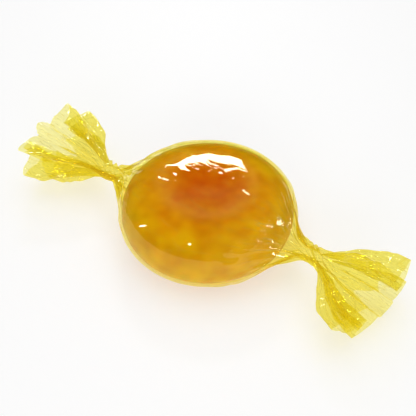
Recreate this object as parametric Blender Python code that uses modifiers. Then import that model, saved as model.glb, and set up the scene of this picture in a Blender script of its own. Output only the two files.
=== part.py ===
"""Butterscotch candy: a dished hard-candy disc, twist-wrapped in clear film that fans out at both ends.

The disc lies flat, with its axis along Z. The film's twists lie along X, one at each side of the disc.
The origin is on the ground, under the middle of the whole candy's box.
"""

import math

import bmesh
import bpy
import numpy as np

MM = 0.001
TURN = 2 * math.pi

# The disc: its edge follows (radius / R) ** power + (height / H) ** 2 = 1
DISC_RADIUS = 12.7 * MM
DISC_HALF_HEIGHT = 5.1 * MM
EDGE_POWER = 6
DISH_RADIUS = 9.0 * MM
DISH_DEPTH = 0.6 * MM
DISC_STEPS = 48
DISC_PROFILE_POINTS = 24

# The film over the disc
FILM_GAP = 0.3 * MM
FILM_WALL = 0.15 * MM
COVER_RADIUS = DISC_RADIUS + FILM_GAP + FILM_WALL
COVER_HALF_HEIGHT = DISC_HALF_HEIGHT + FILM_GAP + FILM_WALL
REST_FLAT = 0.12 * MM  # how much the film is flattened under the disc

# The twists
TWIST_DISTANCE = 17.2 * MM  # from the disc's axis
TWIST_RADIUS = 1.5 * MM
TWIST_ANGLE = math.radians(200)
TWIST_SPREAD = 2.0 * MM
WAIST_POWER = 4  # how sharply the film necks down
FLUTE_DEPTH = 0.2  # of the film's radius, where it gathers
FLUTE_DEPTH_IN_TWIST = 0.02

# The fans
FAN_LENGTH = 13.0 * MM
FAN_LEAN = math.radians(19)  # of the film from the fan's axis
FAN_BELL = 1.6  # 1 opens the fan along straight lines, and more opens it sooner
FAN_WIDENING = 1.34
FAN_UP, FAN_DOWN = 1.1, 1.0

# How the film is cut into faces
COLUMNS = 52
RINGS_PER_HALF = 25
CROWDING = 4  # extra rings at a twist
CROWDING_SPREAD = 3 * MM


class End:
    """One end of the wrapper: its side of the disc, its pleats and the way its fan points."""

    def __init__(self, side, pleats, phase, yaw, lean_swing):
        self.side = side
        self.pleats = pleats
        self.phase = phase
        self.yaw = yaw
        self.lean_swing = lean_swing


LEFT = End(side=-1, pleats=8, phase=0.6, yaw=math.radians(9), lean_swing=math.radians(7.5))
RIGHT = End(side=1, pleats=7, phase=2.1, yaw=math.radians(-14), lean_swing=math.radians(8))


def ease(share):
    """A smooth step from 0 to 1."""
    share = np.clip(share, 0, 1)
    return share * share * (3 - 2 * share)


def distance_along(curve):
    """The distance from a curve's first point to each of its points."""
    steps = np.linalg.norm(np.diff(curve, axis=0), axis=1)
    return np.concatenate([[0], np.cumsum(steps)])


def disc_profile():
    """The disc's outline from the middle of its top, around its edge, to the middle of its underside."""
    angle = np.linspace(math.pi / 2, -math.pi / 2, 4001)
    radius = DISC_RADIUS * np.clip(np.cos(angle), 0, 1) ** (2 / EDGE_POWER)
    dish = DISH_DEPTH * (1 + np.cos(math.pi * np.clip(radius / DISH_RADIUS, 0, 1))) / 2
    height = DISC_HALF_HEIGHT * np.sin(angle) - np.sign(angle) * dish
    along = distance_along(np.column_stack([radius, height]))
    wanted = np.linspace(0, along[-1], DISC_PROFILE_POINTS)
    return zip(np.interp(wanted, along, radius), np.interp(wanted, along, height))


def cover_reach(x, turn):
    """How far the film over the disc is from the twist axis, at x, in the direction turn around that axis."""
    low = np.zeros(np.broadcast(x, turn).shape)
    high = np.full_like(low, COVER_RADIUS)
    for _ in range(40):
        reach = (low + high) / 2
        radius = np.hypot(x, reach * np.cos(turn)) / COVER_RADIUS
        height = reach * np.sin(turn) / COVER_HALF_HEIGHT
        inside = radius**EDGE_POWER + height**2 < 1
        low, high = np.where(inside, reach, low), np.where(inside, high, reach)
    return low


def leaving_points(turn):
    """Where the film leaves the disc on its straight way to a twist: x and the reach from the twist axis."""
    x = np.linspace(0, COVER_RADIUS, 500)[:, None]
    reach = cover_reach(x, turn[None, :])
    last = np.argmax(reach / (TWIST_DISTANCE - x), axis=0)
    return x[last, 0], reach[last, np.arange(len(turn))]


def even_turns(columns):
    """Directions around the twist axis that cut the film over the disc's middle into equal widths."""
    turn = np.linspace(0, TURN, 2001)
    reach = cover_reach(0.0, turn)
    along = distance_along(np.column_stack([reach * np.cos(turn), reach * np.sin(turn)]))
    wanted = np.linspace(0, along[-1], columns, endpoint=False)
    return np.interp(wanted, along, turn)


def pleat_wave(share, end):
    """1 on a pleat's ridge and -1 in its valley, with pleats of uneven width."""
    slow = 0.13 * np.sin(2 * TURN * share + end.phase) + 0.07 * np.sin(3 * TURN * share + 2 * end.phase)
    return np.cos(TURN * (end.pleats * share + slow) + end.phase)


def twisted(turn, distance, end):
    """Turns the film around the twist axis, from the disc on past the twist."""
    return turn + end.side * TWIST_ANGLE * (1 + np.tanh((distance - TWIST_DISTANCE) / TWIST_SPREAD)) / 2


def waist(reach):
    """Holds the film to the twist's radius where it would close up."""
    return (reach**WAIST_POWER + TWIST_RADIUS**WAIST_POWER) ** (1 / WAIST_POWER)


def fluted(reach, distance, gathered, share, end):
    """Folds the film into flutes as deep as it is gathered, and pressed shallow in the twist."""
    in_twist = np.exp(-(((distance - TWIST_DISTANCE) / (2 * TWIST_SPREAD)) ** 2))
    depth = gathered * (FLUTE_DEPTH + (FLUTE_DEPTH_IN_TWIST - FLUTE_DEPTH) * in_twist)
    return reach * (1 - depth * (1 - pleat_wave(share, end)) / 2)


def body_ring(distance, end, share, turn_over_disc):
    """The film between the disc's middle and a twist."""
    to_twist = ease((distance / TWIST_DISTANCE - 0.45) / 0.55)
    turn = turn_over_disc + (TURN * share - turn_over_disc) * to_twist
    turn = twisted(turn, distance, end)
    leave_x, leave_reach = leaving_points(turn)
    straight = leave_reach * (TWIST_DISTANCE - distance) / (TWIST_DISTANCE - leave_x)
    reach = waist(np.where(distance > leave_x, straight, cover_reach(distance, turn)))
    gathered = ease(1.5 * (distance - leave_x) / (TWIST_DISTANCE - leave_x))
    reach = fluted(reach, distance, gathered, share, end)
    return np.column_stack([np.full_like(turn, end.side * distance), reach * np.cos(turn), reach * np.sin(turn)])


def fan_ring(distance, end, share):
    """The film beyond a twist, where it opens in pleats that lean out by turns more and less."""
    beyond = distance - TWIST_DISTANCE
    turn = twisted(TURN * share, distance, end)
    wave = pleat_wave(share, end)
    lean = FAN_LEAN + end.lean_swing * wave + math.radians(2) * np.sin(TURN * share + end.phase)
    opened_out = FAN_LENGTH * (1 - (1 - beyond / FAN_LENGTH) ** FAN_BELL)
    reach = waist(opened_out * np.sin(lean))
    reach = fluted(reach, distance, 1 - ease(beyond / (4 * TWIST_RADIUS)), share, end)
    opened = ease(beyond / (0.6 * FAN_LENGTH))
    wide = 1 + (FAN_WIDENING - 1) * opened
    tall = 1 + (np.where(np.sin(turn) > 0, FAN_UP, FAN_DOWN) - 1) * opened
    out = beyond * np.cos(lean)
    across = reach * np.cos(turn) * wide
    up = reach * np.sin(turn) * tall
    bend = end.yaw * opened
    x = TWIST_DISTANCE + out * math.cos(end.yaw) - across * math.sin(bend)
    y = out * math.sin(end.yaw) + across * math.cos(bend)
    return np.column_stack([end.side * x, y, up])


def ring_distances():
    """Distances of one half's rings from the disc's axis, closer together at the twist."""
    dense = np.linspace(0, TWIST_DISTANCE + FAN_LENGTH, 4000)
    density = 1 + CROWDING * np.exp(-(((dense - TWIST_DISTANCE) / CROWDING_SPREAD) ** 2))
    count = np.cumsum(density)
    return np.interp(np.linspace(count[0], count[-1], RINGS_PER_HALF), count, dense)


def film_rings():
    """The film's outer face as rings of points, from the left fan's mouth to the right one's."""
    share = np.arange(COLUMNS) / COLUMNS
    turn_over_disc = even_turns(COLUMNS)
    halves = []
    for end in (LEFT, RIGHT):
        half = []
        for distance in ring_distances():
            if distance <= TWIST_DISTANCE:
                half.append(body_ring(distance, end, share, turn_over_disc))
            else:
                half.append(fan_ring(distance, end, share))
        halves.append(half)
    left, right = halves
    rings = np.array(left[:0:-1] + right)
    rings[:, :, 2] = np.maximum(rings[:, :, 2], REST_FLAT - COVER_HALF_HEIGHT)
    return rings


def new_object(name, mesh, material, collection, parent):
    """An object of the mesh in the collection, under the parent."""
    mesh.materials.append(material)
    thing = bpy.data.objects.new(name, mesh)
    thing.parent = parent
    collection.objects.link(thing)
    return thing


def principled(name, colour, roughness, **settings):
    """A material with one Principled BSDF."""
    material = bpy.data.materials.new(name)
    material.use_nodes = True
    shader = material.node_tree.nodes["Principled BSDF"]
    shader.inputs["Base Color"].default_value = (*colour, 1)
    shader.inputs["Roughness"].default_value = roughness
    shader.inputs["Metallic"].default_value = 0
    for setting, value in settings.items():
        shader.inputs[setting].default_value = value
    material.diffuse_color = (*colour, settings.get("Alpha", 1))
    return material


def hard_candy_material():
    return principled("amber_hard_candy", (0.72, 0.26, 0.008), 0.12)


def film_material():
    return principled("yellow_clear_film", (0.9, 0.78, 0.04), 0.1, Alpha=0.45)


def make_disc(collection, parent):
    """The candy: its outline turned around Z."""
    mesh = bpy.data.meshes.new("candy")
    outline = [(radius, 0, height) for radius, height in disc_profile()]
    edges = [(i, i + 1) for i in range(len(outline) - 1)]
    mesh.from_pydata(outline, edges, [])
    disc = new_object("candy", mesh, hard_candy_material(), collection, parent)
    turned = disc.modifiers.new("turned", "SCREW")
    turned.axis = "Z"
    turned.angle = TURN
    turned.steps = DISC_STEPS
    turned.render_steps = DISC_STEPS
    turned.use_merge_vertices = True
    turned.merge_threshold = 0.00001
    turned.use_smooth_shade = True
    return disc


def make_wrapper(rings, collection, parent):
    """The film: a skin lofted through the rings, thickened inwards."""
    bm = bmesh.new()
    columns = rings.shape[1]
    loops = [[bm.verts.new(point) for point in ring] for ring in rings.tolist()]
    for ring, following in zip(loops, loops[1:]):
        for i in range(columns):
            j = (i + 1) % columns
            bm.faces.new((ring[i], ring[j], following[j], following[i]))
    mesh = bpy.data.meshes.new("wrapper")
    bm.to_mesh(mesh)
    bm.free()
    mesh.shade_smooth()
    wrapper = new_object("wrapper", mesh, film_material(), collection, parent)
    wall = wrapper.modifiers.new("wall", "SOLIDIFY")
    wall.thickness = FILM_WALL
    wall.offset = -1
    wall.use_even_offset = True
    return wrapper


def frame_location(rings):
    """Where the disc's middle is when the candy's box stands centred on the origin."""
    points = rings.reshape(-1, 3)
    low, high = points.min(axis=0), points.max(axis=0)
    return (-(low[0] + high[0]) / 2, -(low[1] + high[1]) / 2, -low[2])


def main():
    for thing in list(bpy.data.objects):
        bpy.data.objects.remove(thing)
    collection = bpy.data.collections.new("butterscotch_candy")
    bpy.context.scene.collection.children.link(collection)
    rings = film_rings()
    middle = bpy.data.objects.new("disc_middle", None)
    middle.location = frame_location(rings)
    collection.objects.link(middle)
    make_disc(collection, middle)
    make_wrapper(rings, collection, middle)


main()
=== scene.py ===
# %% [markdown]
# # A twist-wrapped butterscotch candy
#
# One butterscotch candy lies on a pale table. It is two things: a dished disc of boiled sugar, and one
# sheet of clear yellow film that is rolled round it, wrung shut at both sides and left to open into two
# fans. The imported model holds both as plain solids. This lesson makes a finer mesh of the same form for
# each, and a finish that lets light in, because a candy that light can't enter looks like plastic.

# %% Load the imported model
import math
from collections import namedtuple

import bpy
import numpy as np
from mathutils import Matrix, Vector


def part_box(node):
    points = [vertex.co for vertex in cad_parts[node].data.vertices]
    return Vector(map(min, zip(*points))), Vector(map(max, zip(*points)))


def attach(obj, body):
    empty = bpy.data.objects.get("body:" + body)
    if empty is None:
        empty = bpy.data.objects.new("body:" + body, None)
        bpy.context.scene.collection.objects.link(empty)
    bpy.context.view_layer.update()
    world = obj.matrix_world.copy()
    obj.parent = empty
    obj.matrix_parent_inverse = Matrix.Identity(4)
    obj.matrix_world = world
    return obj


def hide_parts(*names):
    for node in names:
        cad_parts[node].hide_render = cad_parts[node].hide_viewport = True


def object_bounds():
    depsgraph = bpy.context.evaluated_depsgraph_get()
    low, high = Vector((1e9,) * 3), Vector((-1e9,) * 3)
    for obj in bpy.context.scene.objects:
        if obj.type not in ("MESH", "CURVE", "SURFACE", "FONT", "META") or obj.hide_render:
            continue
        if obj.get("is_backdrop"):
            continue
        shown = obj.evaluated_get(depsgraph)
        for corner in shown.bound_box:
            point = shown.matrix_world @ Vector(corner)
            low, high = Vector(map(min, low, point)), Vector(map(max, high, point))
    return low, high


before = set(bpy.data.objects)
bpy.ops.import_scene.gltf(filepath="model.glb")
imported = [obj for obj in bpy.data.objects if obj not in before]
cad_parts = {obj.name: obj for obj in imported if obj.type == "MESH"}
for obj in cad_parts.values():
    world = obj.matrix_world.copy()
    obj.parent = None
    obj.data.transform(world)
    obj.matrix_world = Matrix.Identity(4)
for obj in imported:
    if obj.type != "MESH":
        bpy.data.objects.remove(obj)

CAD_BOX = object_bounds()
print("the packed model is", [round(size * 1000, 1) for size in CAD_BOX[1] - CAD_BOX[0]], "mm")

# %% [markdown]
# ## Units and the disc's place
#
# Blender counts in metres and a candy is small, so lengths are written in millimetres and turned to metres
# by one factor. The disc's middle could be typed in as numbers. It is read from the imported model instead,
# so that each new piece lands where its solid is, even if that model is packed again.

# %% Units and the disc's place
MM = 0.001
TURN = 2 * math.pi

disc_low, disc_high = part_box("candy")
MIDDLE = (disc_low + disc_high) / 2
print("the disc's middle is at", [round(place / MM, 2) for place in MIDDLE], "mm")

# %% [markdown]
# ## One helper for every tree of nodes
#
# A shader and a Geometry Nodes modifier are both trees of nodes. Blender's own calls take a line for each
# link and each number. One function that adds a node, sets it up and links its inputs lets a tree read as a
# list of steps, from the first node to the last.

# %% Add a node
def add(tree, kind, inputs=None, **settings):
    """Adds a node with these settings. Each input, by name or number, gets a value or a link."""
    made = tree.nodes.new(kind)
    for name, value in settings.items():
        setattr(made, name, value)
    for key, value in (inputs or {}).items():
        if isinstance(value, bpy.types.NodeSocket):
            tree.links.new(value, made.inputs[key])
        else:
            made.inputs[key].default_value = value
    return made


# %% [markdown]
# ## Colours
#
# A colour picker shows colours as sRGB hex codes, while shaders calculate with linear light. One function
# turns the first into the second, so that every colour below can be read and compared as a hex code.

# %% Turn a hex code to linear colour
def colour(code):
    """A linear colour from an sRGB hex code."""
    # the numbers below are those of the sRGB standard
    parts = [int(code[i : i + 2], 16) / 255 for i in (1, 3, 5)]
    linear = [part / 12.92 if part <= 0.04045 else ((part + 0.055) / 1.055) ** 2.4 for part in parts]
    return (*linear, 1)


print("candy amber in linear light is", [round(part, 3) for part in colour("#D98A10")])

# %% [markdown]
# ## Boiled sugar: what it is
#
# Butterscotch is sugar, syrup and butter, boiled hard and cooled to a glass. Clear sugar glass alone would
# look like amber. The butter clouds it, so light that enters spreads before it leaves, and the disc seems
# lit from inside. Both could be one shader with a scattering volume, but that is slow and full of noise.
# Here the surface mixes two shaders instead: one clear, one cloudy.

# %% The clear part
SUGAR_IOR = 1.5  # sugar glass bends light as window glass does
SKIN_ROUGHNESS = 0.25  # the stamped skin is only half polished: what shows through it is soft
CLEAR_SHINE = 0.1  # 0.5 would be bare sugar


def clear_sugar(tree):
    """The glassy part. The film lies close on it, so most of the shine is the film's, and its own is weak."""
    return add(tree, "ShaderNodeBsdfPrincipled", {
        "Base Color": colour("#FFE9B0"),
        "Roughness": SKIN_ROUGHNESS,
        "IOR": SUGAR_IOR,
        "Specular IOR Level": CLEAR_SHINE,
        "Specular Tint": colour("#3F3827"),
        "Transmission Weight": 1.0,
    })


print("the clear part bends light by", SUGAR_IOR)

# %% [markdown]
# ## From the core to the rim
#
# The candy is thickest in the middle, and light crosses a thick part with more loss, so the middle is red
# orange and the rim is gold. The exact way would be to let the volume do all of it. A gradient from the
# axis outwards stands in for most of that, and its two colours can be set by eye.

# %% From the core to the rim
CORE_RADIUS, RIM_RADIUS = 2.0 * MM, 12.5 * MM


def rim_share(tree, place):
    """0 over the core and 1 at the rim, from the distance to the disc's axis."""
    centred = add(tree, "ShaderNodeVectorMath", {0: place, 1: tuple(MIDDLE)}, operation="SUBTRACT").outputs[0]
    flat = add(tree, "ShaderNodeVectorMath", {0: centred, 1: (1, 1, 0)}, operation="MULTIPLY").outputs[0]
    radius = add(tree, "ShaderNodeVectorMath", {0: flat}, operation="LENGTH").outputs["Value"]
    return add(tree, "ShaderNodeMapRange", {"Value": radius, "From Min": CORE_RADIUS, "From Max": RIM_RADIUS},
               interpolation_type="SMOOTHSTEP").outputs[0]


print("the colour changes from", CORE_RADIUS / MM, "to", RIM_RADIUS / MM, "mm from the axis")

# %% [markdown]
# ## The cloudy part
#
# The butter is never mixed in quite evenly, so the sugar is mottled in patches of a few millimetres, some
# redder and some more golden. Painted on the surface, such patches would look like dirt. They belong in the
# subsurface colour, where the light that passes under the skin softens them. Red light travels furthest
# there, and blue is soon gone.

# %% Patches in the sugar
PATCH = 3.0 * MM
NOISE_LOW, NOISE_HIGH = 0.3, 0.7  # most of a noise texture's values lie between these


def mottles(tree, place):
    """Noise in patches of the butter's size."""
    return add(tree, "ShaderNodeTexNoise", {"Vector": place, "Scale": 1 / PATCH, "Detail": 1.0}).outputs[0]


print("the butter's patches are about", PATCH / MM, "mm wide")

# %% [markdown]
# ## The glow under the skin
#
# A Diffuse shader would stop light at the skin, like paint. Subsurface scattering lets it in and out again a
# few millimetres away. Its colour is the gradient's, moved a little towards red or gold by each patch.

# %% The cloudy part
CORE, RIM = colour("#DC640A"), colour("#FFD92E")
MOTTLED = 0.5  # how far a patch's colour strays from the gradient
LIGHT_REACH = 4 * MM
RED_GREEN_BLUE_REACH = (1.0, 0.45, 0.08)
CLOUDY_SHINE = 0.02  # weaker still than the clear part's


def buttery_sugar(tree, rimward, mottle):
    """The part that the butter clouds, which glows from under its skin."""
    even = add(tree, "ShaderNodeMath", {0: rimward, 1: -MOTTLED / 2}, operation="ADD").outputs[0]
    golden = add(tree, "ShaderNodeMath", {0: mottle, 1: MOTTLED, 2: even}, operation="MULTIPLY_ADD")
    shade = add(tree, "ShaderNodeMix", {0: golden.outputs[0], 6: CORE, 7: RIM}, data_type="RGBA").outputs[2]
    return add(tree, "ShaderNodeBsdfPrincipled", {
        "Base Color": shade,
        "Roughness": SKIN_ROUGHNESS,
        "IOR": SUGAR_IOR,
        "Specular IOR Level": CLOUDY_SHINE,
        "Subsurface Weight": 1.0,
        "Subsurface Radius": RED_GREEN_BLUE_REACH,
        "Subsurface Scale": LIGHT_REACH,
    })


print("red light reaches", LIGHT_REACH / MM, "mm under the skin")

# %% [markdown]
# ## How milky each place is
#
# The same patches also decide how much of each shader there is, so that a patch changes how deep the eye
# sees in. The rim is thin, and a thin layer of cloudy sugar hides less, so it is clearer than the middle.

# %% How milky each place is
CLEAREST, CLOUDIEST = 0.7, 0.92
RIM_CLEARING = 0.42  # the share of its cloud that the rim is without


def milkiness(tree, rimward, mottle):
    """The share of the cloudy shader."""
    cloud = add(tree, "ShaderNodeMapRange", {"Value": mottle, "From Min": NOISE_LOW, "From Max": NOISE_HIGH,
                                             "To Min": CLEAREST, "To Max": CLOUDIEST}).outputs[0]
    thin = add(tree, "ShaderNodeMath", {0: rimward, 1: -RIM_CLEARING, 2: 1.0}, operation="MULTIPLY_ADD")
    return add(tree, "ShaderNodeMath", {0: cloud, 1: thin.outputs[0]}, operation="MULTIPLY").outputs[0]


print("patches of", PATCH / MM, "mm are", CLEAREST, "to", CLOUDIEST, "cloudy")

# %% [markdown]
# ## The whole finish
#
# What light does on its way through the clear part is the volume's work. Absorption takes a fixed share per
# millimetre, so thick parts turn amber without being painted so.

# %% Boiled sugar
SUGAR_DEPTH = 10 * MM  # the disc's thickness
LET_THROUGH = colour("#FEED00")
DENSITY = 390.0  # per metre


def boiled_sugar():
    """Butterscotch, boiled and stamped: a soft shine, amber depth and a glow in the shade."""
    material = bpy.data.materials.new("boiled_sugar_butterscotch")
    material.use_nodes = True
    tree = material.node_tree
    tree.nodes.clear()
    place = add(tree, "ShaderNodeTexCoord").outputs["Object"]
    rimward = rim_share(tree, place)
    mottle = mottles(tree, place)
    clear, cloudy = clear_sugar(tree), buttery_sugar(tree, rimward, mottle)
    milky = milkiness(tree, rimward, mottle)
    body = add(tree, "ShaderNodeMixShader", {0: milky, 1: clear.outputs[0], 2: cloudy.outputs[0]})
    depth = add(tree, "ShaderNodeVolumeAbsorption", {"Color": LET_THROUGH, "Density": DENSITY})
    add(tree, "ShaderNodeOutputMaterial", {"Surface": body.outputs[0], "Volume": depth.outputs[0]})
    return material


BOILED_SUGAR = boiled_sugar()
through = [math.exp(-DENSITY * (1 - part) * SUGAR_DEPTH) for part in LET_THROUGH[:3]]
print("of the light that crosses the clear part,", [f"{share:.0%}" for share in through], "gets through")

# %% [markdown]
# ## Trees with named inputs
#
# A Geometry Nodes tree is a small machine that makes a mesh. Its sizes come in as named inputs, like the
# sizes on a drawing. It ends by smoothing the mesh and giving it its finish, and Realize Instances turns
# any copies into plain mesh. Both trees below start and end in this way, so two helpers hold it.

# %% Start and end a tree
def geometry_tree(name, inputs):
    """An empty tree with these inputs, each with its kind, and the sockets that bring them in."""
    tree = bpy.data.node_groups.new(name, "GeometryNodeTree")
    for label, kind in inputs.items():
        tree.interface.new_socket(label, in_out="INPUT", socket_type="NodeSocket" + kind)
    tree.interface.new_socket("Mesh", in_out="OUTPUT", socket_type="NodeSocketGeometry")
    return tree, add(tree, "NodeGroupInput").outputs


def ended(tree, shape, finish):
    """The same tree, with its end: smooth shading, the finish and one plain mesh."""
    smooth = add(tree, "GeometryNodeSetShadeSmooth", {"Geometry": shape}).outputs[0]
    finished = add(tree, "GeometryNodeSetMaterial", {"Geometry": smooth, "Material": finish}).outputs[0]
    real = add(tree, "GeometryNodeRealizeInstances", {"Geometry": finished}).outputs[0]
    add(tree, "NodeGroupOutput", {"Mesh": real})
    return tree


print("trees that make meshes so far:", len(bpy.data.node_groups))

# %% [markdown]
# ## From a tree to a plain mesh
#
# The tree could stay on its object as a live modifier. The rest of the work wants a plain mesh, which
# exports as it is seen. So the tree is run once on a seed object, the result is copied out, and the seed is
# thrown away with its modifier. The inputs are set by the sockets' identifiers, because a modifier doesn't
# know their names.

# %% Run a tree and keep its mesh
def grown(name, tree, values, start=None):
    """A plain object with the mesh that a tree makes, or makes from a starting mesh."""
    seed = bpy.data.objects.new(name, start or bpy.data.meshes.new(name + "_seed"))
    bpy.context.scene.collection.objects.link(seed)
    modifier = seed.modifiers.new(name, "NODES")
    modifier.node_group = tree
    for item in tree.interface.items_tree:
        if item.in_out == "INPUT" and item.name in values:
            modifier[item.identifier] = values[item.name]
    view = bpy.context.evaluated_depsgraph_get()
    mesh = bpy.data.meshes.new_from_object(seed.evaluated_get(view), depsgraph=view)
    mesh.name = name
    bpy.data.objects.remove(seed)
    made = bpy.data.objects.new(name, mesh)
    bpy.context.scene.collection.objects.link(made)
    return made


# %% [markdown]
# ## The disc's form
#
# The real disc is stamped from warm sugar between two dies. Every cut through its axis shows the same
# outline: a flat oval with a full edge, and a shallow dish on both faces. It could be lathed from a drawn
# curve with the Screw modifier. The outline follows a rule, though, so the tree states the rule: it takes a
# ball, and moves each point straight up or down onto the outline.

# %% The outline's height
DISC_RADIUS, DISC_HALF_HEIGHT = 12.7 * MM, 5.1 * MM
EDGE_POWER = 6  # 2 would be an ellipse, and more gives a flatter face and a fuller edge
DISH_RADIUS, DISH_DEPTH = 9.0 * MM, 0.6 * MM


def outline_height(tree, out, given):
    """How high a face stands at this share of the radius: a flat oval, less the dish."""
    steep = add(tree, "ShaderNodeMath", {0: out, 1: given["Edge power"]}, operation="POWER").outputs[0]
    rest = add(tree, "ShaderNodeMath", {0: 1.0, 1: steep}, operation="SUBTRACT", use_clamp=True).outputs[0]
    oval = add(tree, "ShaderNodeMath", {0: rest}, operation="SQRT").outputs[0]
    dome = add(tree, "ShaderNodeMath", {0: oval, 1: given["Half height"]}, operation="MULTIPLY").outputs[0]
    radius = add(tree, "ShaderNodeMath", {0: out, 1: given["Radius"]}, operation="MULTIPLY").outputs[0]
    dish = add(tree, "ShaderNodeMapRange", {
        "Value": radius, "From Min": 0.0, "From Max": given["Dish radius"],
        "To Min": given["Dish depth"], "To Max": 0.0,
    }, interpolation_type="SMOOTHSTEP").outputs[0]
    return add(tree, "ShaderNodeMath", {0: dome, 1: dish}, operation="SUBTRACT").outputs[0]


print(f"the disc is {2 * DISC_RADIUS / MM:.1f} mm across, and its dish is {DISH_DEPTH / MM:.1f} mm deep")

# %% [markdown]
# ## From a ball to the disc
#
# A ball's points are already spread over two faces and an edge, which is what a disc has. Each point keeps
# its direction from the axis, and the sign of its height says which face it belongs to.

# %% Press the ball into shape
SEGMENTS, RINGS = 192, 120  # how many faces there are round the disc, and from face to face


def pressed(tree, ball, given):
    """The ball's points on the outline, each on the face that it was nearer to."""
    here = add(tree, "GeometryNodeInputPosition").outputs[0]
    part = add(tree, "ShaderNodeSeparateXYZ", {0: here}).outputs
    flat = add(tree, "ShaderNodeCombineXYZ", {"X": part["X"], "Y": part["Y"]}).outputs[0]
    out = add(tree, "ShaderNodeVectorMath", {0: flat}, operation="LENGTH").outputs["Value"]
    height = outline_height(tree, out, given)
    side = add(tree, "ShaderNodeMath", {0: part["Z"]}, operation="SIGN").outputs[0]
    up = add(tree, "ShaderNodeMath", {0: height, 1: side}, operation="MULTIPLY").outputs[0]
    wide = add(tree, "ShaderNodeVectorMath", {0: flat, "Scale": given["Radius"]}, operation="SCALE")
    lift = add(tree, "ShaderNodeCombineXYZ", {"Z": up}).outputs[0]
    moved = add(tree, "ShaderNodeVectorMath", {0: wide.outputs[0], 1: lift}, operation="ADD").outputs[0]
    return add(tree, "GeometryNodeSetPosition", {"Geometry": ball, "Position": moved}).outputs[0]


print("the ball has", SEGMENTS * RINGS, "faces")

# %% [markdown]
# ## An uneven skin
#
# Sugar shrinks as it cools, so the skin is never as true as the die. A little noise lets it in by up to
# a twentieth of a millimetre. That is too little to see as form, but it bends the lights that the skin
# mirrors.

# %% Let the skin in
SWELL = 6.25 * MM  # from one soft hollow in the skin to the next
UNEVENNESS = 0.05 * MM


def cooled(tree, disc, given):
    """The disc with its skin let in unevenly, and moved to its place on the table."""
    here = add(tree, "GeometryNodeInputPosition").outputs[0]
    hollows = add(tree, "ShaderNodeTexNoise", {"Vector": here, "Scale": 1 / SWELL, "Detail": 1.0}).outputs[0]
    inwards = add(tree, "ShaderNodeMath", {0: given["Unevenness"], 1: -1.0}, operation="MULTIPLY").outputs[0]
    depth = add(tree, "ShaderNodeMapRange", {"Value": hollows, "From Min": NOISE_LOW, "From Max": NOISE_HIGH,
                                             "To Min": 0.0, "To Max": inwards}).outputs[0]
    normal = add(tree, "GeometryNodeInputNormal").outputs[0]
    push = add(tree, "ShaderNodeVectorMath", {0: normal, "Scale": depth}, operation="SCALE").outputs[0]
    offset = add(tree, "ShaderNodeVectorMath", {0: push, 1: given["Middle"]}, operation="ADD").outputs[0]
    return add(tree, "GeometryNodeSetPosition", {"Geometry": disc, "Offset": offset}).outputs[0]


print("soft hollows in the skin are", SWELL / MM, "mm apart")

# %% [markdown]
# ## The disc
#
# Now the parts are joined: a ball goes in, is pressed, cools, and comes out as a mesh of sugar.

# %% The disc
tree, given = geometry_tree("dished disc", {
    "Radius": "Float", "Half height": "Float", "Edge power": "Float", "Dish radius": "Float",
    "Dish depth": "Float", "Unevenness": "Float", "Middle": "Vector", "Finish": "Material",
})
ball = add(tree, "GeometryNodeMeshUVSphere", {"Segments": SEGMENTS, "Rings": RINGS, "Radius": 1.0})
shape = cooled(tree, pressed(tree, ball.outputs["Mesh"], given), given)
disc = grown("candy_disc", ended(tree, shape, given["Finish"]), {
    "Radius": DISC_RADIUS, "Half height": DISC_HALF_HEIGHT, "Edge power": float(EDGE_POWER),
    "Dish radius": DISH_RADIUS, "Dish depth": DISH_DEPTH, "Unevenness": UNEVENNESS,
    "Middle": MIDDLE, "Finish": BOILED_SUGAR,
})
print("the disc measures", [round(size / MM, 2) for size in disc.dimensions], "mm")

# %% [markdown]
# ## The film's rule
#
# The wrapper is one flat sheet of film. A machine rolls it round the disc with a small overlap, grips both
# ends and wrings them. Cloth simulation could do that, but a wrung twist is hard for it, because so many
# folds lie on each other. The real sheet follows one rule that can be written down. It can't stretch, so
# wherever the ring that it lies on is shorter than the sheet is wide, the spare width goes into pleats.
# There are none over the disc, the deepest are in the twist, and they are shallow again at the mouth of
# each fan. The twist's real pleats are too many and too tight to model. Fewer are made here, so from the
# disc's middle to the twist they take up only a part of the spare width.
#
# So the film is built as rings of points, from one fan's edge to the other's. Each ring says how far it is
# from the disc's middle, how tightly it is gathered and how far it is turned.

# %% The film's sizes
FILM_OUT = 0.43 * MM  # from the disc to the film
TWIST_DISTANCE = 17.2 * MM  # from the disc's middle to where the film is wrung
TWIST_RADIUS = 1.5 * MM
FAN_LENGTH = 13.0 * MM
OVERLAP = 0.04  # at each edge, as a share of the way round
COLUMNS = 420  # points in a ring
FLOOR_CLEARANCE = 0.02 * MM
print("from fan to fan the film spans", 2 * (TWIST_DISTANCE + FAN_LENGTH) / MM, "mm")

# %% [markdown]
# ## Two helpers for curves
#
# Most changes along the film start and end softly, and some belong to one place and fade on both sides. One
# curve for each kind keeps the rings smooth.

# %% Two helpers for curves
def ease(share):
    """From 0 to 1 with a soft start and end."""
    share = np.clip(share, 0, 1)
    return share * share * (3 - 2 * share)


def bell(distance, middle, spread):
    """1 at the middle, and nearly 0 two spreads away from it."""
    return np.exp(-(((distance - middle) / spread) ** 2))


print("a quarter of the way, ease gives", float(ease(0.25)))

# %% [markdown]
# ## Round the disc
#
# Over the disc the film is drawn tight, on the disc's own outline and a little outside it. A ring there is
# not a circle but a flat oval, cut from that outline at the ring's distance from the middle. Solving for it
# could take algebra. Halving an interval thirty times is simpler, and exact enough.

# %% The cover over the disc
HALVINGS = 30


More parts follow.
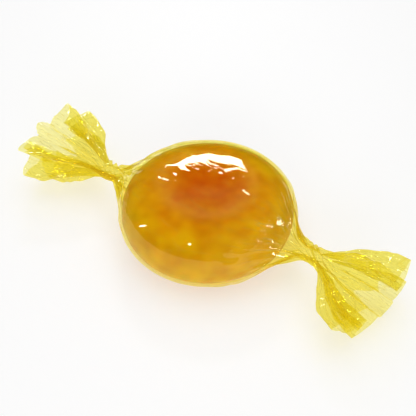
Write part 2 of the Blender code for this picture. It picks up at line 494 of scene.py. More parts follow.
def cover_reach(x, turn, gap=FILM_OUT):
    """How far the cover, this gap away from the disc, reaches at x in the direction of turn."""
    low = np.zeros(np.broadcast(x, turn).shape)
    high = np.full_like(low, DISC_RADIUS + gap)
    for _ in range(HALVINGS):
        reach = (low + high) / 2
        radius = np.hypot(x, reach * np.cos(turn)) / (DISC_RADIUS + gap)
        height = reach * np.sin(turn) / (DISC_HALF_HEIGHT + gap)
        inside = radius**EDGE_POWER + height**2 < 1
        low, high = np.where(inside, reach, low), np.where(inside, high, reach)
    return low


to_side, upwards = cover_reach(0.0, np.array([0.0, TURN / 4])) / MM
print(f"over the middle the film reaches {to_side:.2f} mm to the side and {upwards:.2f} mm up")

# %% [markdown]
# ## Where the film leaves the disc
#
# From the disc to the twist, tight film runs straight, as a tent's canvas does from its frame to its pegs.
# On each side of the disc it leaves where a straight line to the twist just touches the cover. That is the
# place from which the line would be steepest, so it is found by trying many.

# %% Where the film leaves the disc
TRIED_TURNS, TRIED_PLACES = 721, 500
LEAVING_TURN = np.linspace(0, TURN, TRIED_TURNS)
tried = np.linspace(0, DISC_RADIUS + FILM_OUT, TRIED_PLACES)[:, None]
tried_reach = cover_reach(tried, LEAVING_TURN[None, :])
last = np.argmax(tried_reach / (TWIST_DISTANCE - tried), axis=0)
LEAVING_X, LEAVING_REACH = tried[last, 0], tried_reach[last, np.arange(TRIED_TURNS)]


def leaving_points(turn):
    """Where the film leaves the disc in this direction: its distance from the middle, and its reach."""
    turn = np.mod(turn, TURN)
    return np.interp(turn, LEAVING_TURN, LEAVING_X), np.interp(turn, LEAVING_TURN, LEAVING_REACH)


print(f"the film leaves the disc {LEAVING_X.min() / MM:.1f} to {LEAVING_X.max() / MM:.1f} mm from its middle")

# %% [markdown]
# ## Even steps round the disc
#
# The sheet's points lie evenly spaced round the disc. Steps of equal angle would space them unevenly on a
# flat oval, so they are spaced by the length that they cover along the ring. The same measure gives the
# sheet's width.

# %% Even steps round the disc
MEASURED_AT = 4001  # points round the ring


def even_turns(share):
    """The direction of each share of the way round over the disc's middle, and the whole way's length."""
    turn = np.linspace(0, TURN, MEASURED_AT)
    reach = cover_reach(0.0, turn)
    steps = np.hypot(np.diff(reach * np.cos(turn)), np.diff(reach * np.sin(turn)))
    along = np.concatenate([[0], np.cumsum(steps)])
    whole = np.floor(share)
    return np.interp((share - whole) * along[-1], along, turn) + TURN * whole, along[-1]


SHARE = np.linspace(-OVERLAP, 1 + OVERLAP, COLUMNS)
DISC_TURN, WAY_ROUND = even_turns(SHARE)
SHEET_WIDTH = (1 + 2 * OVERLAP) * WAY_ROUND
print(f"the way round the disc is {WAY_ROUND / MM:.1f} mm, and the sheet is {SHEET_WIDTH / MM:.1f} mm wide")

# %% [markdown]
# ## Two ends that differ
#
# No two twists come out alike. Each end gets its own number of pleats, its own start for them, and its own
# lean, so that the fans don't mirror each other.

# %% The two ends
End = namedtuple("End", "side pleats phase yaw lean_swing")
LEFT = End(side=-1, pleats=8, phase=0.6, yaw=math.radians(9), lean_swing=math.radians(7.5))
RIGHT = End(side=1, pleats=7, phase=2.1, yaw=math.radians(-14), lean_swing=math.radians(8))
print("pleats, left and right:", LEFT.pleats, RIGHT.pleats)

# %% [markdown]
# ## Pleats
#
# A pleat is a fold that runs the length of the end. A sine wave would be as soft as a curtain. Film
# creases, so the wave is sharpened nearly to a zigzag, and its steps are stretched here and there, since a
# pleat that forms by itself is never as wide as its neighbour. Finer pleats, three to each large one, ride
# on the large ones.

# %% Pleats round a ring
SHARPNESS = 0.97  # 1 would be a true zigzag
WANDER = ((2, 0.13), (3, 0.07))  # waves in the pleats' spacing: how many round the ring, and how strong
FINE_TO_A_PLEAT = 3
FINE_WAVES, FINE_WANDER = 5, 1.3  # the same for the fine pleats, with the strength in radians


def pleat_phase(share, end):
    """The large pleats' phase at this share of the sheet's width."""
    slow = sum(size * np.sin(waves * TURN * share + number * end.phase)
               for number, (waves, size) in enumerate(WANDER, start=1))
    return TURN * (end.pleats * share + slow) + end.phase


def fine_phase(share, end):
    """The fine pleats' phase at this share of the sheet's width."""
    slow = FINE_WANDER * np.sin(FINE_WAVES * TURN * share + end.phase)
    return FINE_TO_A_PLEAT * pleat_phase(share, end) + slow


def folded(phase):
    """A sharp zigzag from -1 on an inner fold to 1 on an outer one."""
    return np.arcsin(SHARPNESS * np.cos(phase)) / math.asin(SHARPNESS)


print("fine pleats, left and right:", FINE_TO_A_PLEAT * LEFT.pleats, FINE_TO_A_PLEAT * RIGHT.pleats)

# %% [markdown]
# ## How deep the pleats are
#
# A pleat's depth is a share of its ring's radius. It grows towards the twist, where the film is gathered
# most. In the twist itself the fine pleats are squeezed flatter, because there is little room for them.

# %% How deep the pleats are
GATHERED_ZONE, WRUNG_ZONE = 4.5 * MM, 2.6 * MM  # on each side of the twist
LARGE_DEPTH, LARGE_DEPTH_WRUNG = 0.22, 0.26  # away from the twist, and how much more in it
FINE_DEPTH, FINE_DEPTH_WRUNG = 0.10, 0.22
FINE_PRESSED_FLAT = 0.6  # the share of their depth that the fine pleats lose in the twist


def pleated(reach, distance, gathered, share, end):
    """The reach with its pleats folded in, as deep as the film is gathered here."""
    tight = bell(distance, TWIST_DISTANCE, GATHERED_ZONE)
    wrung = bell(distance, TWIST_DISTANCE, WRUNG_ZONE)
    large = gathered * (LARGE_DEPTH + LARGE_DEPTH_WRUNG * tight)
    fine = gathered * (FINE_DEPTH + FINE_DEPTH_WRUNG * tight) * (1 - FINE_PRESSED_FLAT * wrung)
    in_large = (1 - folded(pleat_phase(share, end))) / 2
    in_fine = (1 - folded(fine_phase(share, end))) / 2
    return reach * (1 - large * in_large - fine * in_fine)


wrung_depth = 1 - pleated(1.0, TWIST_DISTANCE, 1.0, SHARE, LEFT).min()
print(f"the deepest pleat in the twist takes up {wrung_depth:.0%} of its radius")

# %% [markdown]
# ## Where the edges lap
#
# On the real candy the sheet's outer edge lies on its inner one, and only the twists hold it there. By the
# rules so far both edges would be in exactly the same place, and their crumples would cut through each
# other. So the outer edge is lifted off: hardly at all over the disc, and more in the fans, where nothing
# presses it down.

# %% Lift the outer edge
LAP_GAP, LAP_OPENS = 0.1 * MM, 0.6 * MM  # over the disc, and how much more at a fan's mouth
LIFTS_FROM, LIFTS_OVER = 0.90, 0.06  # shares of the way round
LIFTED = ease((SHARE - LIFTS_FROM) / LIFTS_OVER)


def lapped(reach, distance):
    """The reach, with the sheet's outer edge lifted off the inner one that it laps over."""
    return reach + LIFTED * (LAP_GAP + LAP_OPENS * ease((distance - TWIST_DISTANCE) / FAN_LENGTH))


print("at a fan's mouth the outer edge is lifted by", (LAP_GAP + LAP_OPENS) / MM, "mm")

# %% [markdown]
# ## The twist
#
# Wringing turns the rings beyond the twist against those before it. The turn happens over a few
# millimetres, which a hyperbolic tangent follows. Its ends fade out softly, so the pleats run in straight,
# wind round like a screw's thread and run out straight again.

# %% The twist
TWIST_ANGLE = math.radians(200)
TWIST_SPREAD = 2.0 * MM
WAIST_POWER = 4  # how sharply the narrowing film turns into the round waist


def twisted(turn, distance, end):
    """The direction of each point after the wringing."""
    return turn + end.side * TWIST_ANGLE * (1 + np.tanh((distance - TWIST_DISTANCE) / TWIST_SPREAD)) / 2


def waist(reach):
    """The reach, but never less than the wrung waist's radius."""
    return (reach**WAIST_POWER + TWIST_RADIUS**WAIST_POWER) ** (1 / WAIST_POWER)


print("each end is wrung by", round(math.degrees(TWIST_ANGLE)), "degrees")

# %% [markdown]
# ## A ring between the disc and the twist
#
# Such a ring follows the cover while it is over the disc, and then a straight line to the twist. The pleats
# come in as the rings shrink. Two rules meet here, and the film must never cut the disc, so wherever a ring
# is still over the disc, it is kept outside it.

# %% A ring of the body
ROUNDS_OUT_FROM = 0.45  # the share of the way where an oval ring starts to turn round
GATHERS_BY = 1.5  # above 1, the film is fully gathered before it reaches the twist
NEAREST = 0.15 * MM  # the closest that a ring comes to the disc


def body_ring(distance, end):
    """The points of a ring between the disc's middle and the twist."""
    rounder = ease((distance / TWIST_DISTANCE - ROUNDS_OUT_FROM) / (1 - ROUNDS_OUT_FROM))
    turn = twisted(DISC_TURN + (TURN * SHARE - DISC_TURN) * rounder, distance, end)
    leave_x, leave_reach = leaving_points(turn)
    straight = leave_reach * (TWIST_DISTANCE - distance) / (TWIST_DISTANCE - leave_x)
    reach = waist(np.where(distance > leave_x, straight, cover_reach(distance, turn)))
    gathered = ease(GATHERS_BY * (distance - leave_x) / (TWIST_DISTANCE - leave_x))
    reach = pleated(reach, distance, gathered, SHARE, end)
    if distance < DISC_RADIUS + NEAREST:
        reach = np.maximum(reach, cover_reach(distance, turn, NEAREST))
    reach = lapped(reach, distance)
    x = np.full_like(turn, end.side * distance)
    return np.column_stack([x, reach * np.cos(turn), reach * np.sin(turn)])


halfway = body_ring(TWIST_DISTANCE / 2, RIGHT)
print("halfway to the twist, a ring is", [round(size / MM, 1) for size in np.ptp(halfway, axis=0)[1:]], "mm")

# %% [markdown]
# ## A ring of the fan
#
# Beyond the twist the film springs open. Its stiffness spreads it like a cone that flattens outwards, and
# the pleats that were wrung in stay as waves: an outer fold leans out more than an inner one. The fan
# has been pressed a little flat, so it is wider than it is tall.

# %% A ring of the fan
FAN_LEAN = math.radians(19)  # from the candy's axis to the fan's film
FAN_BELL = 1.6  # 1 would be a straight cone
FAN_WIDENING = 1.34  # how many times as wide as a round fan
FAN_UP, FAN_DOWN = 1.1, 1.0  # how many times as tall, above its middle and below it
OPENS_OVER = 0.6 * FAN_LENGTH
LARGE_WAVE, FINE_WAVE = 0.95, 0.14  # how much of the lean's swing the large and the fine pleats give
CROOKED = math.radians(2)  # one side of the fan leans out more than the other
PLEATS_FADE_OVER = 10.5 * MM


def fan_ring(distance, end):
    """The points of a ring between the twist and the fan's edge."""
    beyond = distance - TWIST_DISTANCE
    turn = twisted(TURN * SHARE, distance, end)
    opened = ease(beyond / OPENS_OVER)
    wave = folded(pleat_phase(SHARE, end)) * LARGE_WAVE + FINE_WAVE * opened * folded(fine_phase(SHARE, end))
    lean = FAN_LEAN + end.lean_swing * wave + CROOKED * np.sin(TURN * SHARE + end.phase)
    spread = FAN_LENGTH * (1 - (1 - beyond / FAN_LENGTH) ** FAN_BELL)
    reach = pleated(waist(spread * np.sin(lean)), distance, 1 - ease(beyond / PLEATS_FADE_OVER), SHARE, end)
    reach = lapped(reach, distance)
    wide = 1 + (FAN_WIDENING - 1) * opened
    tall = 1 + (np.where(np.sin(turn) > 0, FAN_UP, FAN_DOWN) - 1) * opened
    out, across = beyond * np.cos(lean), reach * np.cos(turn) * wide
    x = TWIST_DISTANCE + out * math.cos(end.yaw) - across * np.sin(end.yaw * opened)
    y = out * math.sin(end.yaw) + across * np.cos(end.yaw * opened)
    return np.column_stack([end.side * x, y, reach * np.sin(turn) * tall])


mouth = fan_ring(TWIST_DISTANCE + FAN_LENGTH, RIGHT)
print("the right fan's mouth is", [round(size / MM, 1) for size in np.ptp(mouth, axis=0)[1:]], "mm")

# %% [markdown]
# ## How the rings are spaced
#
# The twist has the finest form and needs the closest rings. Evenly spaced rings would either be too coarse
# there or too many elsewhere, so they crowd towards the twist.

# %% Space the rings
RINGS_PER_HALF = 118
CROWDING, CROWDING_SPREAD = 1.6, 3.2 * MM
COUNTED_AT = 8000  # places along a half

dense = np.linspace(0, TWIST_DISTANCE + FAN_LENGTH, COUNTED_AT)
count = np.cumsum(1 + CROWDING * bell(dense, TWIST_DISTANCE, CROWDING_SPREAD))
DISTANCES = np.interp(np.linspace(count[0], count[-1], RINGS_PER_HALF), count, dense)


def half_film(end):
    """The rings from the middle to this end's edge."""
    return [body_ring(at, end) if at <= TWIST_DISTANCE else fan_ring(at, end) for at in DISTANCES]


gaps = np.diff(DISTANCES) / MM
print(f"rings are {gaps.min():.2f} mm apart in the twist and {gaps.max():.2f} mm at the middle")

# %% [markdown]
# ## One sheet
#
# The two halves share their middle ring, so one of them leaves it out. The sheet lies on the table and not
# in it: points below the table are lifted onto it, as a real fan is bent up where it touches.

# %% Join the rings into a sheet
rings = np.array(half_film(LEFT)[:0:-1] + half_film(RIGHT)) + np.array(MIDDLE)
ALONG = np.concatenate([-DISTANCES[:0:-1], DISTANCES])
rings[:, :, 2] = np.maximum(rings[:, :, 2], FLOOR_CLEARANCE)

index = np.arange(len(rings) * COLUMNS).reshape(len(rings), COLUMNS)
quads = np.stack([index[:-1, :-1], index[:-1, 1:], index[1:, 1:], index[1:, :-1]], axis=-1).reshape(-1, 4)
sheet_mesh = bpy.data.meshes.new("film")
sheet_mesh.from_pydata(rings.reshape(-1, 3), [], quads)
print("the sheet has", len(rings), "rings and", len(quads), "faces")

# %% [markdown]
# ## What each point remembers
#
# Crumples and creases belong to the flat sheet, not to the space round the candy. So each point keeps where
# it was on the sheet before it was wrapped, and how loose the film is there: tight over the disc, loose in
# the fans. It also keeps how much room its crumples have. In the twist the pleats lie wall to wall, and
# film that stood out there would cut through its neighbour. All three are stored on the mesh as attributes,
# which Geometry Nodes and shaders can read.

# %% Store them as attributes
PATTERN_SHIFT = 7 * MM  # which part of the endless crumple pattern lies over the disc
TIGHT_UP_TO, LOOSENS_OVER = 4 * MM, 10 * MM
PRESSED_FLAT, PRESSED_SPREAD = 0.95, 4.5 * MM  # how flat the twist presses crumples, and how far from it

flat_place = np.zeros((len(rings), COLUMNS, 3))
flat_place[:, :, 0] = SHARE[None, :] * WAY_ROUND + PATTERN_SHIFT
flat_place[:, :, 1] = ALONG[:, None]
sheet_mesh.attributes.new("sheet", "FLOAT_VECTOR", "POINT").data.foreach_set("vector", flat_place.ravel())

looseness = ease((np.abs(ALONG) - TIGHT_UP_TO) / LOOSENS_OVER)[:, None] * np.ones(COLUMNS)
sheet_mesh.attributes.new("loose", "FLOAT", "POINT").data.foreach_set("value", looseness.ravel())

leeway = (1 - PRESSED_FLAT * bell(np.abs(ALONG), TWIST_DISTANCE, PRESSED_SPREAD))[:, None] * np.ones(COLUMNS)
sheet_mesh.attributes.new("leeway", "FLOAT", "POINT").data.foreach_set("value", leeway.ravel())
print("the film is fully loose from", (TIGHT_UP_TO + LOOSENS_OVER) / MM, "mm on")

# %% [markdown]
# ## Folds in the sheet
#
# Crumpled film is made of flat facets that meet in straight creases. A Voronoi texture has just that
# pattern: its cells are flat-sided and its edges are the creases. Soft noise would look like cloth. Three
# sizes of fold are used: small facets, long creases that run with the pleats, and wide draws where the film
# is pulled over the disc. A little drift keeps them from running dead straight.

# %% Sizes of the folds
FACET = 2.8 * MM
CREASE_LENGTH, CREASE_WIDTH = 6.0 * MM, 1.5 * MM
DRAW_LENGTH, DRAW_WIDTH = 22.0 * MM, 3.0 * MM
DRIFT_SIZE, DRIFT = 4.0 * MM, 1.2 * MM


def drifted(tree, sheet):
    """The place on the sheet, moved a little, so that no fold is dead straight."""
    noise = add(tree, "ShaderNodeTexNoise", {"Vector": sheet, "Scale": 1 / DRIFT_SIZE, "Detail": 1.0})
    drift = add(tree, "ShaderNodeVectorMath", {0: noise.outputs["Color"], "Scale": DRIFT}, operation="SCALE")
    return add(tree, "ShaderNodeVectorMath", {0: sheet, 1: drift.outputs[0]}, operation="ADD").outputs[0]


def from_fold(tree, cells):
    """How far a place is from the edge of its cell, which is a fold."""
    return add(tree, "ShaderNodeTexVoronoi", {"Vector": cells, "Scale": 1.0}, feature="DISTANCE_TO_EDGE",
               voronoi_dimensions="2D").outputs["Distance"]


print("creases are about", CREASE_WIDTH / MM, "mm apart")

# %% [markdown]
# ## Roofs
#
# A cell with straight slopes from its edges to its middle is a hip roof. Chance decides whether a roof
# stands out or hangs in, and how far. Side by side they give the broken, glittering surface of crisp film:
# each slope mirrors a different part of the room. A slope of a tenth is about six degrees.

# %% Roofs over the cells
FACET_SLOPE, CREASE_SLOPE, DRAW_SLOPE = 0.14, 0.35, 0.02


def roofs(tree, place, wide, long, slope):
    """Heights of roofs on cells this wide and long."""
    size = add(tree, "ShaderNodeCombineXYZ", {"X": wide, "Y": long, "Z": 1.0}).outputs[0]
    cells = add(tree, "ShaderNodeVectorMath", {0: place, 1: size}, operation="DIVIDE").outputs[0]
    chance = add(tree, "ShaderNodeTexVoronoi", {"Vector": cells, "Scale": 1.0}, feature="F1",
                 voronoi_dimensions="2D").outputs["Color"]
    chance = add(tree, "ShaderNodeSeparateXYZ", {0: chance}).outputs[0]
    sign = add(tree, "ShaderNodeMath", {0: chance, 1: 2.0, 2: -1.0}, operation="MULTIPLY_ADD").outputs[0]
    rise = add(tree, "ShaderNodeMath", {0: wide, 1: slope}, operation="MULTIPLY").outputs[0]
    rise = add(tree, "ShaderNodeMath", {0: rise, 1: from_fold(tree, cells)}, operation="MULTIPLY").outputs[0]
    return add(tree, "ShaderNodeMath", {0: rise, 1: sign}, operation="MULTIPLY").outputs[0]


print(f"a crease's sides slope by up to about {math.degrees(math.atan(CREASE_SLOPE)):.0f} degrees")

# %% [markdown]
# ## Where the folds stand out
#
# Taut film hardly crumples: over the disc only the draws and a trace of the facets are left. Towards the
# fans the film loosens, and facets and creases come in. In the twist all of them are pressed nearly flat.

# %% How much each fold rises where
TAUT_SHARE, LOOSE_GAIN = 0.09, 2.3  # how much of a facet taut film keeps, and how much loose film adds


def fold_heights(tree, given):
    """The three sizes of fold together: over the disc, only the draws and a trace of the facets."""
    sheet = add(tree, "GeometryNodeInputNamedAttribute", {"Name": "sheet"}, data_type="FLOAT_VECTOR")
    loose = add(tree, "GeometryNodeInputNamedAttribute", {"Name": "loose"}, data_type="FLOAT").outputs[0]
    place = drifted(tree, sheet.outputs[0])
    facets = roofs(tree, place, given["Facet"], given["Facet"], given["Facet slope"])
    creases = roofs(tree, place, given["Crease width"], given["Crease length"], given["Crease slope"])
    draws = roofs(tree, place, given["Draw width"], given["Draw length"], given["Draw slope"])
    rough = add(tree, "ShaderNodeMath", {0: loose, 1: LOOSE_GAIN, 2: TAUT_SHARE},
                operation="MULTIPLY_ADD").outputs[0]
    facets = add(tree, "ShaderNodeMath", {0: facets, 1: rough}, operation="MULTIPLY").outputs[0]
    rise = add(tree, "ShaderNodeMath", {0: creases, 1: loose, 2: facets}, operation="MULTIPLY_ADD").outputs[0]
    rise = add(tree, "ShaderNodeMath", {0: rise, 1: draws}, operation="ADD").outputs[0]
    leeway = add(tree, "GeometryNodeInputNamedAttribute", {"Name": "leeway"}, data_type="FLOAT").outputs[0]
    return add(tree, "ShaderNodeMath", {0: rise, 1: leeway}, operation="MULTIPLY").outputs[0]


print("loose facets stand", round((LOOSE_GAIN + TAUT_SHARE) / TAUT_SHARE), "times as high as taut ones")

# %% [markdown]
# ## The crumpling tree
#
# The folds could be a bump in the shader, which needs no fine mesh. But bump doesn't change the outline,
# and the ragged edge of the fans is half of what says crisp film. So the tree moves the sheet's points along
# their normals, and then lifts what went below the table. Real film would slide aside where its walls meet.
# This film doesn't, so in the twists, the fans and the lap some walls pass through each other. None of it
# shows in a render.

# %% Crumple the sheet
tree, given = geometry_tree("crumpled film", {
    "Film": "Geometry", "Facet": "Float", "Facet slope": "Float", "Crease length": "Float",
    "Crease width": "Float", "Crease slope": "Float", "Draw length": "Float", "Draw width": "Float",
    "Draw slope": "Float", "Floor": "Float", "Finish": "Material",
})
normal = add(tree, "GeometryNodeInputNormal").outputs[0]
here = add(tree, "GeometryNodeInputPosition").outputs[0]
push = add(tree, "ShaderNodeVectorMath", {0: normal, "Scale": fold_heights(tree, given)}, operation="SCALE")
moved = add(tree, "ShaderNodeVectorMath", {0: here, 1: push.outputs[0]}, operation="ADD").outputs[0]
part = add(tree, "ShaderNodeSeparateXYZ", {0: moved}).outputs
up = add(tree, "ShaderNodeMath", {0: part["Z"], 1: given["Floor"]}, operation="MAXIMUM").outputs[0]
lifted = add(tree, "ShaderNodeCombineXYZ", {"X": part["X"], "Y": part["Y"], "Z": up}).outputs[0]
crumpled = add(tree, "GeometryNodeSetPosition", {"Geometry": given["Film"], "Position": lifted}).outputs[0]
crumple_tree = ended(tree, crumpled, given["Finish"])
print("the crumpling tree has", len(tree.nodes), "nodes")

# %% [markdown]
# ## Clear film: what it is
#
# The wrapper is twist film, a sheet of clear cellulose or plastic, a few hundredths of a millimetre thick
# and dyed yellow. It is too thin to bend light, so glass would be wrong: a Transparent shader tints what
# lies behind, and layers deepen the colour by themselves. Its faces mirror little straight on, and nearly
# all at a grazing angle.

# %% How much the film mirrors
MIRRORED_STRAIGHT_ON = 0.04
GRAZING_POWER = 5.0
HALFWAY = 0.5  # with this blend, Facing is 1 less the cosine of the angle


def film_mirror(tree):
    """The share of light that the film mirrors, which grows towards a grazing angle as on any clear film."""
    facing = add(tree, "ShaderNodeLayerWeight", {"Blend": HALFWAY}).outputs["Facing"]
    grazing = add(tree, "ShaderNodeMath", {0: facing, 1: GRAZING_POWER}, operation="POWER").outputs[0]
    return add(tree, "ShaderNodeMath", {0: grazing, 1: 1 - MIRRORED_STRAIGHT_ON, 2: MIRRORED_STRAIGHT_ON},
               operation="MULTIPLY_ADD").outputs[0]


print(f"straight on, the film mirrors {MIRRORED_STRAIGHT_ON:.0%}")

# %% [markdown]
# ## White lines on the folds
#
# Where film has been folded sharply it has cracked a little inside, and scatters light. A sharp fold also
# bends so fast that it mirrors a thin bright line, and the mesh is too coarse for that glint. So the pale
# lines on the folds are in part real whitening and in part a painted highlight, broken where a fold was
# softer. The same Voronoi cells that raise the folds draw them, so that each line sits on its fold. A real
# line is a few hundredths of a millimetre wide. It is drawn several times as wide, or it would not show.

# %% Lines on the folds
CREASE_LINE, DRAW_LINE = 0.14 * MM, 0.12 * MM  # half of a line's width
BREAKS = 1.6 * MM  # from one break in a line to the next
BROKEN_BELOW, WHOLE_ABOVE = 0.42, 0.62  # values of the noise that breaks the lines
LEFT_IN_A_BREAK = 0.1
TAUT_LINES = 0.25  # over the disc the film is drawn smooth, and a quarter of a line is left


def fold_line(tree, place, wide, long, half_width):
    """1 on the folds of cells this wide and long, and 0 away from them."""
    cells = add(tree, "ShaderNodeVectorMath", {0: place, 1: (1 / wide, 1 / long, 0)}, operation="MULTIPLY")
    return add(tree, "ShaderNodeMapRange", {"Value": from_fold(tree, cells.outputs[0]), "From Min": 0.0,
                                            "From Max": half_width / wide, "To Min": 1.0, "To Max": 0.0},
               interpolation_type="SMOOTHSTEP").outputs[0]


def fold_lines_and_glints(tree, sheet, loose):
    """Pale lines on creases and draws, part whitening, part painted glint, broken into shorter ones."""
    place = drifted(tree, sheet)
    creases = fold_line(tree, place, CREASE_WIDTH, CREASE_LENGTH, CREASE_LINE)
    creases = add(tree, "ShaderNodeMath", {0: creases, 1: loose}, operation="MULTIPLY").outputs[0]
    draws = fold_line(tree, place, DRAW_WIDTH, DRAW_LENGTH, DRAW_LINE)
    faint = add(tree, "ShaderNodeMath", {0: loose, 1: 1 - TAUT_LINES, 2: TAUT_LINES},
                operation="MULTIPLY_ADD")
    draws = add(tree, "ShaderNodeMath", {0: draws, 1: faint.outputs[0]}, operation="MULTIPLY").outputs[0]
    lines = add(tree, "ShaderNodeMath", {0: creases, 1: draws}, operation="MAXIMUM").outputs[0]
    patchy = add(tree, "ShaderNodeTexNoise", {"Vector": sheet, "Scale": 1 / BREAKS, "Detail": 1.0}).outputs[0]
    shown = add(tree, "ShaderNodeMapRange", {"Value": patchy, "From Min": BROKEN_BELOW,
                                             "From Max": WHOLE_ABOVE, "To Min": LEFT_IN_A_BREAK,
                                             "To Max": 1.0}).outputs[0]
    return add(tree, "ShaderNodeMath", {0: lines, 1: shown}, operation="MULTIPLY").outputs[0]


print("lines on creases are drawn", 2 * CREASE_LINE / MM, "mm wide")

# %% [markdown]
# ## Streaks
#
# The film is stretched as it is cast, and wringing rubs it along its length. Both leave fine streaks that
# run from end to end. They scatter a little light and roughen the shine, and they show most in the fans.

# %% Streaks along the film
STREAK_WIDTH, STREAK_LENGTH = 0.5 * MM, 7 * MM
FAINTEST, STRONGEST = 0.02, 0.16  # the share of light that streaks scatter
FAINTEST_BELOW, STRONGEST_ABOVE = 0.42, 0.7  # values of the noise that draws them


def streaks_along(tree, sheet):
    """Noise drawn out along the film."""
    drawn_out = (1 / STREAK_WIDTH, 1 / STREAK_LENGTH, 0)
    along = add(tree, "ShaderNodeVectorMath", {0: sheet, 1: drawn_out}, operation="MULTIPLY").outputs[0]
    return add(tree, "ShaderNodeTexNoise", {"Vector": along, "Scale": 1.0, "Detail": 3.0}).outputs[0]


def streak_haze(tree, streaks, loose):
    """The share of light that the streaks scatter."""
    haze = add(tree, "ShaderNodeMapRange", {"Value": streaks, "From Min": FAINTEST_BELOW,
                                            "From Max": STRONGEST_ABOVE, "To Min": FAINTEST,
                                            "To Max": STRONGEST}).outputs[0]
    return add(tree, "ShaderNodeMath", {0: haze, 1: loose}, operation="MULTIPLY").outputs[0]


print("streaks are about", STREAK_WIDTH / MM, "mm wide and", STREAK_LENGTH / MM, "mm long")

# %% [markdown]
# ## The whole film
#
# The finish is built up as light meets it. Most goes straight through and is tinted. The haze of streaks
# and folds scatters some, forwards and back, and on the folds it is partly a painted glint. On top, the
# mirror share gives glints as sharp as the film is smooth.

# %% Yellow twist film
FILM_TINT = colour("#FCF7AD")  # one layer: several together are the deep yellow of the twists
FILM_GLINT = colour("#FFFAD4")
SCATTERED = colour("#FFEE6E")
GLINT_ROUGHNESS = 0.02
# a fold's pale line is partly whitening and partly a painted highlight that stands in for the fold's glint
FOLD_SCATTER_AND_GLINT = 0.35  # the share of light that a fold's line scatters
GOES_ON = 0.5  # the share of scattered light that leaves on the film's far side
STREAK_BUMP, STREAK_RELIEF = 0.05, 0.15 * MM


def yellow_twist_film():
    """Dyed, cast and crumpled clear film: see-through, sharp glints, pale folds that are part painted glint.
    """
    material = bpy.data.materials.new("yellow_twist_film")
    material.use_nodes = True
    tree = material.node_tree
    tree.nodes.clear()
    sheet = add(tree, "ShaderNodeAttribute", attribute_name="sheet").outputs["Vector"]
    loose = add(tree, "ShaderNodeAttribute", attribute_name="loose").outputs["Fac"]
    streaks = streaks_along(tree, sheet)
    lines, rubbed = fold_lines_and_glints(tree, sheet, loose), streak_haze(tree, streaks, loose)
    # the folds' share of this haze is partly a painted glint
    haze = add(tree, "ShaderNodeMath", {0: lines, 1: FOLD_SCATTER_AND_GLINT, 2: rubbed}, operation="MULTIPLY_ADD")
    through = add(tree, "ShaderNodeBsdfTransparent", {"Color": FILM_TINT}).outputs[0]
    front = add(tree, "ShaderNodeBsdfDiffuse", {"Color": SCATTERED}).outputs[0]
    back = add(tree, "ShaderNodeBsdfTranslucent", {"Color": SCATTERED}).outputs[0]
    scatter = add(tree, "ShaderNodeMixShader", {0: GOES_ON, 1: front, 2: back}).outputs[0]
    body = add(tree, "ShaderNodeMixShader", {0: haze.outputs[0], 1: through, 2: scatter}).outputs[0]
    uneven = add(tree, "ShaderNodeBump", {"Height": streaks, "Strength": STREAK_BUMP,
                                          "Distance": STREAK_RELIEF})
    glint = add(tree, "ShaderNodeBsdfGlossy", {"Color": FILM_GLINT, "Roughness": GLINT_ROUGHNESS,
                                               "Normal": uneven.outputs[0]})
    film = add(tree, "ShaderNodeMixShader", {0: film_mirror(tree), 1: body, 2: glint.outputs[0]}).outputs[0]
    add(tree, "ShaderNodeOutputMaterial", {"Surface": film})
    return material


TWIST_FILM = yellow_twist_film()
print("the film's finish has", len(TWIST_FILM.node_tree.nodes), "nodes")

# %% [markdown]
# ## The wrapper
#
# With the sheet, the crumpling tree and the finish at hand, the film is made in one call.

# %% The wrapper
film = grown("wrapper_film", crumple_tree, {
    "Facet": FACET, "Facet slope": FACET_SLOPE,
    "Crease length": CREASE_LENGTH, "Crease width": CREASE_WIDTH, "Crease slope": CREASE_SLOPE,
    "Draw length": DRAW_LENGTH, "Draw width": DRAW_WIDTH, "Draw slope": DRAW_SLOPE,
    "Floor": FLOOR_CLEARANCE, "Finish": TWIST_FILM,
}, start=sheet_mesh)
print("the film has", 2 * len(film.data.polygons), "triangles")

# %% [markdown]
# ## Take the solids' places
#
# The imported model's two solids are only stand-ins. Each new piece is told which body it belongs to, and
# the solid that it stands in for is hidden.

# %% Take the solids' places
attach(disc, "root")
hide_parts("candy")
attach(film, "root")
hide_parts("wrapper")
print(disc.name, "and", film.name, "are in place")

# %% [markdown]
# ## The table
#
# The candy is shown on pure white. A white surface in a studio is never quite white by itself, so this one
# glows a little as well. The glow also comes up through the candy, as from a light table, while the part of
# its white that comes from the lamps keeps a faint shadow.

# %% A white table
TABLE_WHITE = colour("#CBCBCB")
TABLE_ROUGHNESS, TABLE_GLOW = 0.5, 0.45
TABLE_SIZE = 4  # m
TABLE_DROP = 0.01 * MM  # a hair below the candy, so that the two never share a plane


def white_table():
    """Matt white acrylic, lit from below: bright, even and without a pattern of its own."""
    material = bpy.data.materials.new("white_table")
    material.use_nodes = True
    surface = material.node_tree.nodes["Principled BSDF"].inputs
    surface["Base Color"].default_value = TABLE_WHITE
    surface["Roughness"].default_value = TABLE_ROUGHNESS
    surface["Emission Color"].default_value = colour("#FFFFFF")
    surface["Emission Strength"].default_value = TABLE_GLOW
    return material


bpy.ops.mesh.primitive_plane_add(size=TABLE_SIZE, location=(0, 0, -TABLE_DROP))
table = bpy.context.object
table.name = "table"
table.data.materials.append(white_table())
table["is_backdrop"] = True
print("the table is", round(table.dimensions.x), "m wide")

# %% [markdown]
# ## The lamps
#
# Clear and shiny things are lit by what they mirror. One small window behind the candy makes the white wing
# on the disc, and thin strips and small squares around it make the glints on the twists and fans. They
# would also throw hard shadows, so they are hidden from matt surfaces. A broad ceiling and a low front
# light do the opposite: they give light, and are hidden from the mirror.
#
# Every mirrored lamp also leaves a speck on the smooth film over the disc. So there are only as many as the
# fans need to glitter.

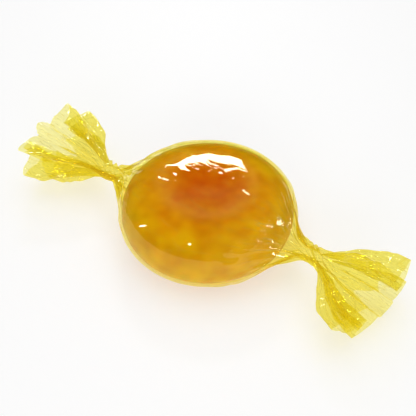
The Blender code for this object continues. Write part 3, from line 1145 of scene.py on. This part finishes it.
# %% A softbox
def softbox(name, width, height, brightness, around, above, distance):
    """A lamp that faces the middle, this many degrees around from +Y and above the table."""
    light = bpy.data.lights.new(name, "AREA")
    light.shape = "RECTANGLE"
    light.size, light.size_y = width, height
    light.energy = brightness * width * height * math.pi  # brightness is the lamp's radiance
    lamp = bpy.data.objects.new(name, light)
    a, e = math.radians(around), math.radians(above)
    way = Vector((math.sin(a) * math.cos(e), math.cos(a) * math.cos(e), math.sin(e)))
    lamp.location = way * distance
    lamp.rotation_mode = "QUATERNION"
    lamp.rotation_quaternion = way.to_track_quat("Z", "Y")
    bpy.context.scene.collection.objects.link(lamp)
    return lamp


print(f"at brightness 1, a lamp of a square metre takes {math.pi:.2f} W")

# %% [markdown]
# ## Where the lamps stand
#
# Each row of the tables is one lamp. The window's place was found by watching where the white wing fell on
# the disc, and the others' by watching the fans glitter.

# %% Set up the lamps
# name, width and height in m, brightness, degrees around and above, distance in m
MIRRORED = (
    ("back_window", 0.15, 0.055, 45, -32, 38, 0.8),
    ("left_strip", 0.03, 0.3, 50, -120, 24, 0.9),
    ("right_strip", 0.04, 0.3, 40, 59, 35, 0.9),
    ("sparkle_front_left", 0.05, 0.05, 70, -181, 52, 0.9),
    ("sparkle_right", 0.05, 0.05, 70, 99, 48, 0.9),
)
LIGHTING = (
    ("ceiling", 1.2, 1.2, 0.95, -30, 80, 1.0),
    ("front_fill", 0.8, 0.45, 4.9, 149, 14, 1.0),
)
for setting in MIRRORED:
    softbox(*setting).visible_diffuse = False
for setting in LIGHTING:
    softbox(*setting).visible_glossy = False
print(len(MIRRORED), "lamps to be mirrored and", len(LIGHTING), "that light")

# %% [markdown]
# ## The room
#
# An even, pale world fills the shadows. The film would mirror it everywhere as a grey veil, so it is hidden
# from the mirror too. Clear film also lies in many layers, and each takes one step of a ray: the limit is
# raised, or the twists would turn black.

# %% The room
ROOM_LIGHT = 0.45
FILM_LAYERS = 32

room = bpy.data.worlds.new("studio")
bpy.context.scene.world = room
room.use_nodes = True
air = room.node_tree.nodes["Background"].inputs
air["Color"].default_value = colour("#FFFFFF")
air["Strength"].default_value = ROOM_LIGHT
room.cycles_visibility.glossy = False
bpy.context.scene.cycles.transparent_max_bounces = FILM_LAYERS
bpy.context.scene.view_settings.view_transform = "Standard"
print("a ray may cross", FILM_LAYERS, "layers of film")

# %% [markdown]
# ## The camera
#
# The photograph looks down from near and in front. The camera does too, but from one side of the front, so
# that both twists show. Its lens is long enough to keep the disc round, and it looks at the middle of the
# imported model.

# %% The camera
AROUND, ABOVE = math.radians(31), math.radians(43)
DISTANCE, NEAREST_SEEN = 0.153, 0.01  # m
LENS, SENSOR = 90, 36  # mm

low, high = CAD_BOX
view_point = bpy.data.cameras.new("camera")
view_point.lens, view_point.sensor_width, view_point.clip_start = LENS, SENSOR, NEAREST_SEEN
camera = bpy.data.objects.new("camera", view_point)
back = Vector((math.sin(AROUND) * math.cos(ABOVE), -math.cos(AROUND) * math.cos(ABOVE), math.sin(ABOVE)))
camera.location = (low + high) / 2 + back * DISTANCE
camera.rotation_mode = "QUATERNION"
camera.rotation_quaternion = (-back).to_track_quat("-Z", "Y")
bpy.context.scene.collection.objects.link(camera)
bpy.context.scene.camera = camera
print("the camera is", round(DISTANCE / MM), "mm away")

# %% [markdown]
# ## Check the size
#
# The new pieces should be as large as the imported model. A few tenths of a millimetre past it do no harm, and
# the film's lifted edge takes some.

# %% Check the size
new_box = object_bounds()

past = [max(old_low - new_low, new_high - old_high) for old_low, old_high, new_low, new_high
        in zip(*CAD_BOX, *new_box)]
print("the new pieces reach past the packed model by", [round(far / MM, 2) for far in past], "mm")
